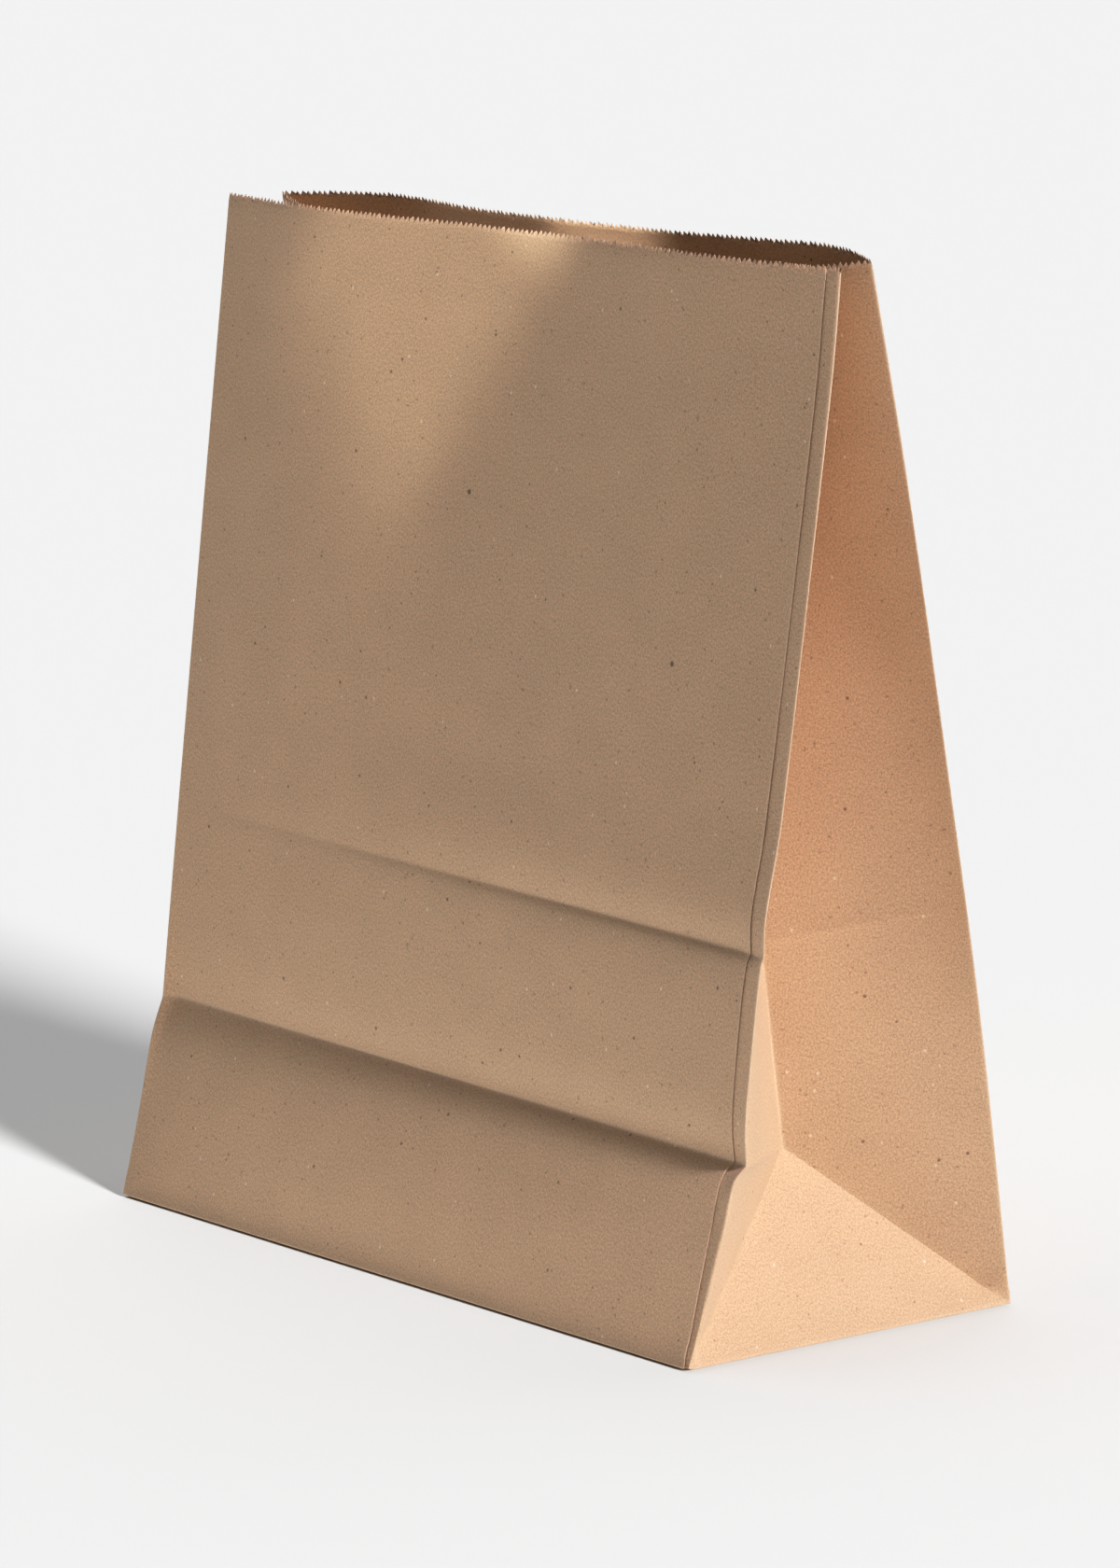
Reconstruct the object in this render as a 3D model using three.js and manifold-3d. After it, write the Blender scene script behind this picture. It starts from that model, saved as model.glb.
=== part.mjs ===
// A self-opening brown paper bag: one sheet of kraft paper, folded and glued, standing open.
// Millimetres, +Z up. The front panel faces -Y, and the origin is the middle of the base.
// The sheet is a tube of four sides. Each narrow side is a gusset whose centre crease folds
// inwards, and the bottom is folded flat over itself. The mouth is cut with a toothed blade.

import * as THREE from 'three';
import { mergeVertices } from 'three/addons/utils/BufferGeometryUtils.js';
import Module from 'manifold-3d';

// ---- the sheet, measured flat ---------------------------------------------------------

const WIDTH = 250; // front and back panels, fold to fold
const GUSSET = 112; // each side, both halves together
const HEIGHT = 285; // bottom fold to mouth, along the paper
const SHEET = 0.12; // paper thickness
const FLOOR_LAYERS = 3; // sheets lying on each other across the base

const HALF_GUSSET = GUSSET / 2;
const FLOOR = FLOOR_LAYERS * SHEET;
const LOW_CREASE = HALF_GUSSET; // the bottom folds up against the front panel here
const HIGH_CREASE = GUSSET; // the free edge of the folded bottom leaves its print here

const LAP_EDGE = 6.2; // from the right front fold to the free edge of the glued lap
const LAP_WIDTH = 20; // glued width
const LAP_RAMP = 2; // the upper sheet comes down off the lower one
const LAP_STEP = 0.08; // width of the lap's steep edge

const TOOTH_PITCH = 1.8;
const TOOTH_DEPTH = 1.1;
const RIM_BAND = 5; // strip below the mouth that carries the teeth

const BOTTOM_OVERLAP = 24; // front bottom flap over back bottom flap
const FLAT_EDGE = 2; // the deeper bottom flaps lie in the base plane this far in from the folds

// ---- how the bag stands ---------------------------------------------------------------

// Each long fold from base to mouth: [height along the paper, x, y, z]. A run is smooth, and
// the fold may turn sharply from one run to the next, at the two creases.
const FRONT_RIGHT = [
  [
    [0, 125, -55.9, 0],
    [37.5, 125.3, -44.5, 35.5],
    [50.5, 125.6, -41.2, 47.9],
    [LOW_CREASE, 125.7, -37.3, 51.3],
  ],
  [
    [LOW_CREASE, 125.7, -37.3, 51.3],
    [66, 125.9, -37.9, 61],
    [80, 126, -36.6, 75],
    [108, 126.3, -33.3, 102.4],
    [HIGH_CREASE, 126.4, -32.3, 105],
  ],
  [
    [HIGH_CREASE, 126.4, -32.3, 105],
    [121, 126.5, -31.9, 114.5],
    [147, 126.8, -26.7, 140],
    [254, 128.3, -12, 248.5],
    [HEIGHT, 128.7, -9, 279.4],
  ],
];
const FRONT_LEFT = [
  [
    [0, -124.3, -56.1, 0],
    [26, -124.4, -49.8, 26],
    [46, -124.2, -45.5, 46.2],
    [LOW_CREASE, -124, -42, 56],
  ],
  [
    [LOW_CREASE, -124, -42, 56],
    [HEIGHT, -120.4, -18.9, 281.8],
  ],
];
const BACK_RIGHT = [
  [
    [0, 125, 55.4, 0],
    [78, 125, 44, 77.1],
    [150, 125, 31, 147.9],
    [230, 124.9, 15.6, 227],
    [HEIGHT, 124.8, 3.6, 280.6],
  ],
];
const BACK_LEFT = [
  [
    [0, -124.5, 56, 0],
    [78, -124.6, 44.4, 77],
    [150, -124.3, 31, 147.7],
    [230, -123.5, 14.2, 226.3],
    [HEIGHT, -122.3, 0.6, 281],
  ],
];

// The centre crease of a gusset tips downwards as it goes in, more at its lower end.
const CREASE_TIP_LOW = THREE.MathUtils.degToRad(14.5);
const CREASE_TIP_HIGH = THREE.MathUtils.degToRad(7.5);
const GUSSET_BELLY = 2.6; // a gusset half springs off its fold and bows into the pocket

// Soft outward bows of the wide panels: [place across, spread, depth at the mouth].
const FRONT_BOWS = [
  [0.2, 0.2, 6],
  [0.82, 0.16, 4],
];
const BACK_BOWS = [
  [0.14, 0.13, 6.3],
  [0.5, 1.2, 4.8],
  [0.78, 0.12, 2.4],
  [0.92, 0.1, 7],
];
const FRONT_BOW_START = HIGH_CREASE; // the bows fade out on the way down to here
const BACK_BOW_START = 40;
const BACK_BOW_LIFT = 0.18; // the back leans, so its bow also lifts the mouth
const BOW_GRIP = 14; // how sharply a bow starts beside a fold
const LOW_CREASE_DIP = 2; // the lower crease is drawn in at the middle of the panel
const BAND_CROWN = 1.2; // the band under it is crowned outwards

// ---- how finely it is divided ---------------------------------------------------------

const PANEL_CELLS = 14;
const LOW_ROWS = 6; // rows up to the lower crease, and cells across each gusset half
const MIDDLE_ROWS = 4;
const HIGH_ROWS = 6;

const KRAFT = new THREE.MeshStandardMaterial({ color: 0xb08a64, roughness: 0.85, metalness: 0 });

// ---- long folds -----------------------------------------------------------------------

function slopeAt(run, k) {
  const before = run[Math.max(k - 1, 0)];
  const after = run[Math.min(k + 1, run.length - 1)];
  return [1, 2, 3].map((c) => (after[c] - before[c]) / (after[0] - before[0]));
}

// The point of a fold at one height along the paper.
function onFold(fold, height) {
  const run = fold.find((stretch) => height <= stretch.at(-1)[0]) ?? fold.at(-1);
  const next = Math.max(1, run.findIndex((stop) => height <= stop[0]));
  const [low, high] = [run[next - 1], run[next]];
  const [lowSlope, highSlope] = [slopeAt(run, next - 1), slopeAt(run, next)];
  const gap = high[0] - low[0];
  const t = (height - low[0]) / gap;
  const hermite = [1, 2, 3].map((c) => {
    const start = (1 + 2 * t) * (1 - t) ** 2 * low[c] + t * (1 - t) ** 2 * gap * lowSlope[c - 1];
    const end = t * t * (3 - 2 * t) * high[c] - t * t * (1 - t) * gap * highSlope[c - 1];
    return start + end;
  });
  return new THREE.Vector3(...hermite);
}

// ---- wide panels ----------------------------------------------------------------------

function bowDepth(bows, across) {
  return bows.reduce((sum, [place, spread, depth]) => {
    return sum + depth * Math.exp(-(((across - place) / spread) ** 2));
  }, 0);
}

// The bows vanish at the folds, where the gussets hold the panel.
function pinned(across) {
  return 1 - Math.exp(-BOW_GRIP * across * (1 - across));
}

function frontPanel(across, height) {
  const point = onFold(FRONT_LEFT, height).lerp(onFold(FRONT_RIGHT, height), across);
  const arch = Math.sin(Math.PI * across);
  const rise = Math.max(0, (height - FRONT_BOW_START) / (HEIGHT - FRONT_BOW_START));
  point.y -= rise * bowDepth(FRONT_BOWS, across) * pinned(across);
  if (height < LOW_CREASE) {
    const up = height / LOW_CREASE;
    point.y += arch * (LOW_CREASE_DIP * up ** 3 - BAND_CROWN * Math.sin(Math.PI * up));
  } else {
    const fade = Math.max(0, 1 - (height - LOW_CREASE) / (HIGH_CREASE - LOW_CREASE));
    point.y += arch * LOW_CREASE_DIP * fade;
  }
  return point;
}

function backPanel(across, height) {
  const point = onFold(BACK_RIGHT, height).lerp(onFold(BACK_LEFT, height), across);
  const rise = Math.max(0, (height - BACK_BOW_START) / (HEIGHT - BACK_BOW_START));
  const bow = rise ** 1.5 * bowDepth(BACK_BOWS, 1 - across) * pinned(across);
  point.y += bow;
  point.z += BACK_BOW_LIFT * bow;
  return point;
}

// ---- gussets --------------------------------------------------------------------------

// The centre crease lies straight in from the middle of the gusset, half a gusset of paper away
// from both of its folds.
function centreCrease(front, back, height, inward) {
  const middle = front.clone().add(back).multiplyScalar(0.5);
  const halfGap = front.distanceTo(back) / 2;
  const reach = Math.sqrt(HALF_GUSSET ** 2 - halfGap ** 2);
  const up = (height - LOW_CREASE) / (HEIGHT - LOW_CREASE);
  const tip = THREE.MathUtils.lerp(CREASE_TIP_LOW, CREASE_TIP_HIGH, up);
  const direction = new THREE.Vector3(inward * Math.cos(tip), 0, -Math.sin(tip));
  return middle.addScaledVector(direction, reach);
}

// A gusset seen as a strip from its front fold (0) to its back fold (GUSSET). Below the lower
// crease two slanted creases run from the base corners up to the centre crease, and the
// triangle between them leans inwards.
function gusset(frontFold, backFold, inward, place, height) {
  const front = onFold(frontFold, height);
  const back = onFold(backFold, height);
  if (height >= LOW_CREASE) {
    const centre = centreCrease(front, back, height, inward);
    const fromFold = Math.min(place, GUSSET - place) / HALF_GUSSET;
    const fold = place < HALF_GUSSET ? front : back;
    const towardsPocket = place < HALF_GUSSET ? 1 : -1;
    const rise = (height - LOW_CREASE) / (HEIGHT - LOW_CREASE);
    const belly = GUSSET_BELLY * 6.75 * fromFold * (1 - fromFold) ** 2 * Math.min(1, 2 * rise);
    const point = fold.clone().lerp(centre, fromFold);
    point.y += towardsPocket * belly;
    return point;
  }
  const frontTop = onFold(frontFold, LOW_CREASE);
  const backTop = onFold(backFold, LOW_CREASE);
  const apex = centreCrease(frontTop, backTop, LOW_CREASE, inward);
  const frontSlant = onFold(frontFold, 0).lerp(apex, height / LOW_CREASE);
  const backSlant = onFold(backFold, 0).lerp(apex, height / LOW_CREASE);
  if (place < height) {
    return front.lerp(frontSlant, place / height);
  }
  if (place > GUSSET - height) {
    return back.lerp(backSlant, (GUSSET - place) / height);
  }
  return frontSlant.lerp(backSlant, (place - height) / (GUSSET - 2 * height));
}

// ---- the whole tube -------------------------------------------------------------------

const SIDES = [
  { length: WIDTH, at: (p, h) => frontPanel(p / WIDTH, h) },
  { length: GUSSET, at: (p, h) => gusset(FRONT_RIGHT, BACK_RIGHT, -1, p, h) },
  { length: WIDTH, at: (p, h) => backPanel(p / WIDTH, h) },
  { length: GUSSET, at: (p, h) => gusset(FRONT_LEFT, BACK_LEFT, 1, GUSSET - p, h) },
];

// How far the outer face stands off the base sheet: one more sheet over the glued lap.
function lapLift(side, place) {
  if (side !== 0) {
    return 0;
  }
  const fromEdge = WIDTH - LAP_EDGE - place;
  if (fromEdge < LAP_STEP / 2) {
    return 0;
  }
  return SHEET * Math.min(1, Math.max(0, (LAP_WIDTH + LAP_RAMP - fromEdge) / LAP_RAMP));
}

function evenSteps(length, cells) {
  return Array.from({ length: cells }, (_, k) => (k / cells) * length);
}

// Places where the tube is divided on its way round, for each side without its last fold.
function columnPlaces() {
  const lapStops = [LAP_EDGE + LAP_WIDTH + LAP_RAMP, LAP_EDGE + LAP_WIDTH, LAP_EDGE + LAP_STEP, LAP_EDGE];
  const lap = lapStops.map((stop) => WIDTH - stop);
  const plain = evenSteps(lap[0], PANEL_CELLS);
  const gussetSteps = evenSteps(GUSSET, 2 * LOW_ROWS);
  const lapMiddle = (lap[1] + lap[2]) / 2;
  return [
    [...plain, lap[0], lap[1], lapMiddle, lap[2], lap[3]],
    gussetSteps,
    evenSteps(WIDTH, PANEL_CELLS),
    gussetSteps,
  ];
}

function rowHeights() {
  const top = HEIGHT - RIM_BAND;
  return [
    ...evenSteps(LOW_CREASE, LOW_ROWS),
    ...evenSteps(HIGH_CREASE - LOW_CREASE, MIDDLE_ROWS).map((h) => LOW_CREASE + h),
    ...evenSteps(top - HIGH_CREASE, HIGH_ROWS).map((h) => HIGH_CREASE + h),
    top,
  ];
}

// A ring of the tube as stops: the side it is on, its place there and its height.
function ringStops(places, height) {
  return places.flatMap((list, side) => list.map((place) => ({ side, place, height })));
}

// The mouth: a notch at each fold, and a tooth between every two notches.
function mouthStops() {
  return SIDES.flatMap(({ length }, side) => {
    const panelParts = side % 2 === 0 ? 1 : 2;
    const teeth = panelParts * Math.round(length / panelParts / TOOTH_PITCH);
    return evenSteps(length, 2 * teeth).map((place, k) => {
      return { side, place, height: HEIGHT - (k % 2 === 0 ? TOOTH_DEPTH : 0) };
    });
  });
}

function distanceRound({ side, place }) {
  return SIDES.slice(0, side).reduce((sum, { length }) => sum + length, 0) + place;
}

// ---- skins of the sheet ---------------------------------------------------------------

const STEP = 0.4; // reach of the central differences that give the paper's direction

// A point on the outer (+1) or the inner (-1) face of the paper.
function onFace(stop, face) {
  const { side, place, height } = stop;
  const { length, at } = SIDES[side];
  const middle = at(place, height);
  const onNext = (shift) => {
    const moved = place + shift;
    if (moved < 0) {
      const previous = SIDES[(side + SIDES.length - 1) % SIDES.length];
      return previous.at(previous.length + moved, height);
    }
    if (moved > length) {
      return SIDES[(side + 1) % SIDES.length].at(moved - length, height);
    }
    return at(moved, height);
  };
  const round = onNext(STEP).sub(onNext(-STEP));
  const above = at(place, Math.min(height + STEP, HEIGHT));
  const below = at(place, Math.max(height - STEP, 0));
  const outward = round.cross(above.sub(below)).normalize();
  const lift = face > 0 ? lapLift(side, place) : 0;
  middle.addScaledVector(outward, face * (SHEET / 2) + lift);
  if (height <= FLOOR) {
    middle.z = height;
  }
  return middle;
}

class SheetMesh {
  constructor() {
    this.points = [];
    this.triangles = [];
  }

  ring(stops, face) {
    return stops.map((stop) => {
      this.points.push(onFace(stop, face));
      return this.points.length - 1;
    });
  }

  triangle(a, b, c, face) {
    this.triangles.push(...(face > 0 ? [a, b, c] : [a, c, b]));
  }

  // Cells between two rings of the same stops. Along the slanted creases a cell is split
  // along the crease, up to the right on the way in and down to the right on the way out.
  wall(lower, upper, stops, face) {
    lower.forEach((_, k) => {
      const n = (k + 1) % lower.length;
      const { side, place } = stops[k];
      const goingOut = side % 2 === 1 && place >= HALF_GUSSET - 1e-6;
      if (goingOut) {
        this.triangle(lower[k], lower[n], upper[k], face);
        this.triangle(lower[n], upper[n], upper[k], face);
      } else {
        this.triangle(lower[k], lower[n], upper[n], face);
        this.triangle(lower[k], upper[n], upper[k], face);
      }
    });
  }

  // A strip between two rings with different stops, closed by walking round both together.
  zip(lower, lowerStops, upper, upperStops, face) {
    const total = 2 * (WIDTH + GUSSET);
    const lowAt = [...lowerStops.map(distanceRound), total];
    const highAt = [...upperStops.map(distanceRound), total];
    let [i, j] = [0, 0];
    while (i < lower.length || j < upper.length) {
      const [low, high] = [lower[i % lower.length], upper[j % upper.length]];
      const lowStep = i < lower.length && (j === upper.length || lowAt[i + 1] <= highAt[j + 1]);
      if (lowStep) {
        i += 1;
        this.triangle(low, lower[i % lower.length], high, face);
      } else {
        j += 1;
        this.triangle(low, upper[j % upper.length], high, face);
      }
    }
  }

  // The cut edge that joins the outer ring to the inner ring at the mouth.
  cutEdge(outer, inner) {
    outer.forEach((_, k) => {
      const n = (k + 1) % outer.length;
      this.triangle(outer[k], outer[n], inner[n], 1);
      this.triangle(outer[k], inner[n], inner[k], 1);
    });
  }

  // A flat cap over a ring, facing up (+1) or down (-1), as a fan about the base's middle.
  cap(ring, facing) {
    const middle = this.points.push(new THREE.Vector3(0, 0, this.points[ring[0]].z)) - 1;
    ring.forEach((corner, k) => {
      this.triangle(middle, corner, ring[(k + 1) % ring.length], facing);
    });
  }

  geometry() {
    const geometry = new THREE.BufferGeometry();
    const flat = this.points.flatMap((point) => point.toArray());
    geometry.setAttribute('position', new THREE.Float32BufferAttribute(flat, 3));
    geometry.setIndex(this.triangles);
    return geometry;
  }
}

// One face of the paper from base to mouth. Returns its first and its last ring.
function addSkin(mesh, face) {
  const places = columnPlaces();
  const heights = rowHeights();
  heights[0] = face > 0 ? 0 : FLOOR;
  const stops = heights.map((height) => ringStops(places, height));
  const rings = stops.map((ring) => mesh.ring(ring, face));
  rings.slice(1).forEach((ring, k) => mesh.wall(rings[k], ring, stops[k], face));
  const mouth = mouthStops();
  const mouthRing = mesh.ring(mouth, face);
  mesh.zip(rings.at(-1), stops.at(-1), mouthRing, mouth, face);
  return { base: rings[0], mouth: mouthRing };
}

function foldedSheet() {
  const mesh = new SheetMesh();
  const outer = addSkin(mesh, 1);
  const inner = addSkin(mesh, -1);
  mesh.cutEdge(outer.mouth, inner.mouth);
  mesh.cap(outer.base, -1);
  mesh.cap(inner.base, 1);
  return mesh.geometry();
}

// ---- the folded bottom ----------------------------------------------------------------

// A shallow wedge under the base, cut away above a convex outline. Its roof rises evenly from
// the base plane, at FLAT_EDGE in from the fold, to its full rise at the far end.
function wedge(corners, inwards, run, rise) {
  const below = -1;
  const count = corners.length;
  const roof = ([x, y]) => {
    const fromFold = inwards(x, y) - FLAT_EDGE;
    return new THREE.Vector3(x, y, (rise * fromFold) / (run - FLAT_EDGE));
  };
  const points = [...corners.map(roof), ...corners.map(([x, y]) => new THREE.Vector3(x, y, below))];
  const triangles = [];
  corners.forEach((_, k) => {
    const n = (k + 1) % count;
    triangles.push(k, count + k, n);
    triangles.push(n, count + k, count + n);
    if (k > 0 && n > 0) {
      triangles.push(0, k, n);
      triangles.push(count, count + n, count + k);
    }
  });
  const geometry = new THREE.BufferGeometry().setFromPoints(points);
  geometry.setIndex(triangles);
  return geometry;
}

// Seen from below, the front flap lies over the back flap, and both lie over the two end
// triangles. What lies deeper is drawn up by the sheets over it, and comes down to the base
// plane near the outer folds.
function flapWedges() {
  const x = WIDTH / 2;
  const y = HALF_GUSSET;
  const overlap = BOTTOM_OVERLAP / 2;
  const flapRun = y - overlap;
  const backFlap = [[x, y], [-x, y], [flapRun - x, overlap], [x - flapRun, overlap]];
  const rightEnd = [[x, -y], [x, y], [x - y, 0]];
  const leftEnd = [[-x, y], [-x, -y], [y - x, 0]];
  return [
    wedge(backFlap, (_, across) => y - across, flapRun, SHEET),
    wedge(rightEnd, (along) => x - along, y, 2 * SHEET),
    wedge(leftEnd, (along) => x + along, y, 2 * SHEET),
  ];
}

// ---- solids ---------------------------------------------------------------------------

const wasm = await Module();
wasm.setup();

function toManifold(geometry) {
  const plain = geometry.clone();
  plain.deleteAttribute('normal');
  plain.deleteAttribute('uv');
  const merged = mergeVertices(plain, 1e-5);
  return new wasm.Manifold(new wasm.Mesh({
    numProp: 3,
    vertProperties: merged.attributes.position.array,
    triVerts: Uint32Array.from(merged.index.array),
  }));
}

function toGeometry(solid) {
  const mesh = solid.getMesh();
  const geometry = new THREE.BufferGeometry();
  geometry.setAttribute('position', new THREE.BufferAttribute(mesh.vertProperties, 3));
  geometry.setIndex(new THREE.BufferAttribute(mesh.triVerts, 1));
  geometry.computeVertexNormals();
  return geometry;
}

function paperBag() {
  let solid = toManifold(foldedSheet());
  flapWedges().forEach((cut) => {
    solid = solid.subtract(toManifold(cut));
  });
  const bag = new THREE.Mesh(toGeometry(solid), KRAFT);
  bag.name = 'paper_bag';
  return bag;
}

const group = new THREE.Group();
group.add(paperBag());

export default group;
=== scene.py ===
"""A brown kraft paper bag standing open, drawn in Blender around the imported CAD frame.

The bag is one sheet of paper. Its places are given on the flat sheet, as a distance round the
tube and a height along the paper, and the functions below say where each place stands. Flat
sizes are in millimetres, and the mesh is in metres.
"""

import math

import bmesh
import bpy
import numpy as np
from mathutils import Matrix, Vector


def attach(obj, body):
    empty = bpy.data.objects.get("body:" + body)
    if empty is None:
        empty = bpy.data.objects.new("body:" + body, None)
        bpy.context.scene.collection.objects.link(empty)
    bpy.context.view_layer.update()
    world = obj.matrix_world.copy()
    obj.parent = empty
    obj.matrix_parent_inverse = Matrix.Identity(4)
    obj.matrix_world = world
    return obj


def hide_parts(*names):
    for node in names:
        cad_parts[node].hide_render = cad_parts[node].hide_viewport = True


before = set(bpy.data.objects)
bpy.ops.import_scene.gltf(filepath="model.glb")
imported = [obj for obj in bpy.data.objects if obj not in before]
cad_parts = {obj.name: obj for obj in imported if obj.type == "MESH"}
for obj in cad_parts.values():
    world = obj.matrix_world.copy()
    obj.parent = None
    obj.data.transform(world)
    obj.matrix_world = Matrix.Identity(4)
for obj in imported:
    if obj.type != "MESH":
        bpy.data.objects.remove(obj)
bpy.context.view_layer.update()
NODE = "paper_bag"
MM = 0.001

# ---- the sheet, measured flat, as in the CAD part --------------------------------------------

WIDTH = 250.0
GUSSET = 112.0
HEIGHT = 285.0
HALF_GUSSET = GUSSET / 2
PERIMETER = 2 * (WIDTH + GUSSET)
LOW_CREASE = HALF_GUSSET
HIGH_CREASE = GUSSET
LAP_EDGE = 6.2
LAP_WIDTH = 20.0
TOOTH_PITCH = 1.8
TOOTH_DEPTH = 1.25
BOTTOM_OVERLAP = 24.0
FLAP_LENGTH = HALF_GUSSET + BOTTOM_OVERLAP / 2

# Each long fold from base to mouth: (height along the paper, x, y, z), in smooth runs.
FRONT_RIGHT = (
    ((0, 125, -55.9, 0), (37.5, 125.3, -44.5, 35.5), (50.5, 125.6, -41.2, 47.9),
     (LOW_CREASE, 125.7, -37.3, 51.3)),
    ((LOW_CREASE, 125.7, -37.3, 51.3), (66, 125.9, -37.9, 61), (80, 126, -36.6, 75),
     (108, 126.3, -33.3, 102.4), (HIGH_CREASE, 126.4, -32.3, 105)),
    ((HIGH_CREASE, 126.4, -32.3, 105), (121, 126.5, -31.9, 114.5), (147, 126.8, -26.7, 140),
     (254, 128.3, -12, 248.5), (HEIGHT, 128.7, -9, 279.4)),
)
FRONT_LEFT = (
    ((0, -124.3, -56.1, 0), (26, -124.4, -49.8, 26), (46, -124.2, -45.5, 46.2),
     (LOW_CREASE, -124, -42, 56)),
    ((LOW_CREASE, -124, -42, 56), (HEIGHT, -120.4, -18.9, 281.8)),
)
BACK_RIGHT = (
    ((0, 125, 55.4, 0), (78, 125, 44, 77.1), (150, 125, 31, 147.9),
     (230, 124.9, 15.6, 227), (HEIGHT, 124.8, 3.6, 280.6)),
)
BACK_LEFT = (
    ((0, -124.5, 56, 0), (78, -124.6, 44.4, 77), (150, -124.3, 31, 147.7),
     (230, -123.5, 14.2, 226.3), (HEIGHT, -122.3, 0.6, 281)),
)
CREASE_TIP_LOW = math.radians(14.5)
CREASE_TIP_HIGH = math.radians(7.5)
GUSSET_BELLY = 4.2                 # how far a gusset's halves swell near the mouth
GUSSET_HOLLOW = 1.6                # and how far they sink in below that
# Bows of the wide faces at the mouth: share of the width, spread, depth.
FRONT_BOWS = ((0.2, 0.2, 6.0), (0.82, 0.16, 4.0))
BACK_BOWS = ((0.14, 0.13, 6.3), (0.5, 1.2, 4.8), (0.78, 0.12, 2.4), (0.92, 0.1, 7.0))
BACK_BOW_POWER = 1.5
FRONT_BOW_START = HIGH_CREASE
BACK_BOW_START = 40.0
BACK_BOW_LIFT = 0.18
BOW_GRIP = 14.0
LOW_GROOVE = (2.6, 17.0, 14.0)     # depth, then how far it spreads above and below the crease
HIGH_GROOVE = (1.3, 8.0, 4.5)
LOW_GROOVE_END = 0.012             # how near each side fold the low crease's groove starts
LOW_GROOVE_SHARES = (1.35, 0.45)   # its depth is this many times LOW_GROOVE's, left and right
HIGH_GROOVE_START = (0.15, 0.75)   # the high crease comes in between these shares of the width
HIGH_GROOVE_END = 0.05
BAND_CROWN = 1.6                   # the low band swells this far out
GUSSET_TRACE = (1.6, 10.0, 7.0)    # the faint line across a gusset, level with the high crease
HOLLOW_TOP = 0.25                  # shares of the gusset's height
BELLY_START = 0.55

# ---- what only the fine sheet has ------------------------------------------------------------

SHEET = 0.2           # drawn a little thicker than the paper, so that its cut edges show
LAYER = 0.26          # from one lying sheet to the next
FOLD_RADIUS = 1.0
WIDE_FOLD = 2.7       # the front right fold's radius grows by this much up to the mouth
WIDE_FOLD_REACH = 7.0
CREASE_RADIUS = 0.5
ACROSS_TAPS = (7, 2.4)   # how many places a fold's rounding averages, and how even their weights are
LEVEL_TAPS = (5, 2.6)
PROBE = 0.5           # how far apart places are taken to find which way the sheet faces
LAP_DROP = 0.5        # the lower sheet stands back from the free edge of the lap
LAP_HIDDEN_DROP = 1.6   # its hidden edge stands back this much more
LAP_DRIFT = 4.6       # near the base the fold comes closer to the lap's edge
LAP_DRIFT_REACH = 26.0
LAP_DRIFT_POWER = 1.3
LAP_RISE = 4.0        # the lower sheet comes level this far from the upper one's free edge
LAP_LEVEL = 0.5
SLACK = 0.35          # slow unevenness of the wide faces
SLACK_CELL = 62.0
SLACK_SEED = 11
SLACK_SHIFT = 40.0    # sets the finer waves off from the wide ones
SLACK_BASE = (4, 30)  # heights between which the slack comes in
SLACK_FOLD = 14       # it dies away this near a fold
BASE_EDGE_LIFT = 0.7  # the base stands on its middle, its edges a little off the floor
BASE_LIFT_REACH = 3.5
FLOOR_GAP = 0.02
FLAP_RISE_START = 1.5
TOOTH_CURL = 0.3     # the cut teeth turn inwards
TOOTH_CURL_POWER = 1.6
TOOTH_UNEVEN = (0.12, 0.14)   # along the edge and in height
TOOTH_SEED = 5
RIM_BAND = 2.2        # the teeth stand on this much of the sheet's top
# Each: distance round the tube, height, how wide and how tall it spreads, how far it stands out.
CRUMPLES = (
    (WIDTH - 3.5, 4.5, 2.6, 2.0, 0.55), (WIDTH + 3.5, 7.0, 2.4, 2.6, -0.5),
    (WIDTH + GUSSET - 6.0, 3.6, 5.0, 1.6, 0.8), (WIDTH + GUSSET - 9.0, 8.0, 5.0, 2.2, -0.7),
    (WIDTH - 20.0, 47.0, 9.0, 3.0, 0.35), (2.5, 5.0, 2.4, 2.4, 0.4),
)
# The lap's free cut edge is painted paler: partly the paper's own pale cut edge, partly a painted
# highlight where light catches it.
CUT_EDGE_PALENESS_AND_HIGHLIGHT = 2.0
CUT_EDGE_WIDTH = 0.5


def smoothstep(low, high, value):
    t = np.clip((value - low) / (high - low), 0, 1)
    return t * t * (3 - 2 * t)


class Fold:
    """A long fold: where it stands at any height along the paper."""

    def __init__(self, runs):
        self.parts = []
        for run in runs:
            stops = np.array(run, float)
            slopes = self._slopes(stops)
            for k in range(len(stops) - 1):
                self.parts.append((stops[k], stops[k + 1], slopes[k], slopes[k + 1]))
        self.tops = np.array([part[1][0] for part in self.parts])
        self.low, self.high, self.low_slope, self.high_slope = (
            np.array([part[c] for part in self.parts]) for c in range(4))

    @staticmethod
    def _slopes(stops):
        count = len(stops)
        before = stops[np.maximum(np.arange(count) - 1, 0)]
        after = stops[np.minimum(np.arange(count) + 1, count - 1)]
        return (after[:, 1:] - before[:, 1:]) / (after[:, :1] - before[:, :1])

    def at(self, height):
        k = np.minimum(np.searchsorted(self.tops, height), len(self.tops) - 1)
        low, high = self.low[k], self.high[k]
        gap = (high[..., 0] - low[..., 0])[..., None]
        t = (np.asarray(height) - low[..., 0])[..., None] / gap
        start = (1 + 2 * t) * (1 - t) ** 2 * low[..., 1:] + t * (1 - t) ** 2 * gap * self.low_slope[k]
        end = t * t * (3 - 2 * t) * high[..., 1:] - t * t * (1 - t) * gap * self.high_slope[k]
        return start + end


FRONT_RIGHT_FOLD, FRONT_LEFT_FOLD = Fold(FRONT_RIGHT), Fold(FRONT_LEFT)
BACK_RIGHT_FOLD, BACK_LEFT_FOLD = Fold(BACK_RIGHT), Fold(BACK_LEFT)


def mix(a, b, share):
    return a + (b - a) * np.asarray(share)[..., None]


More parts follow.
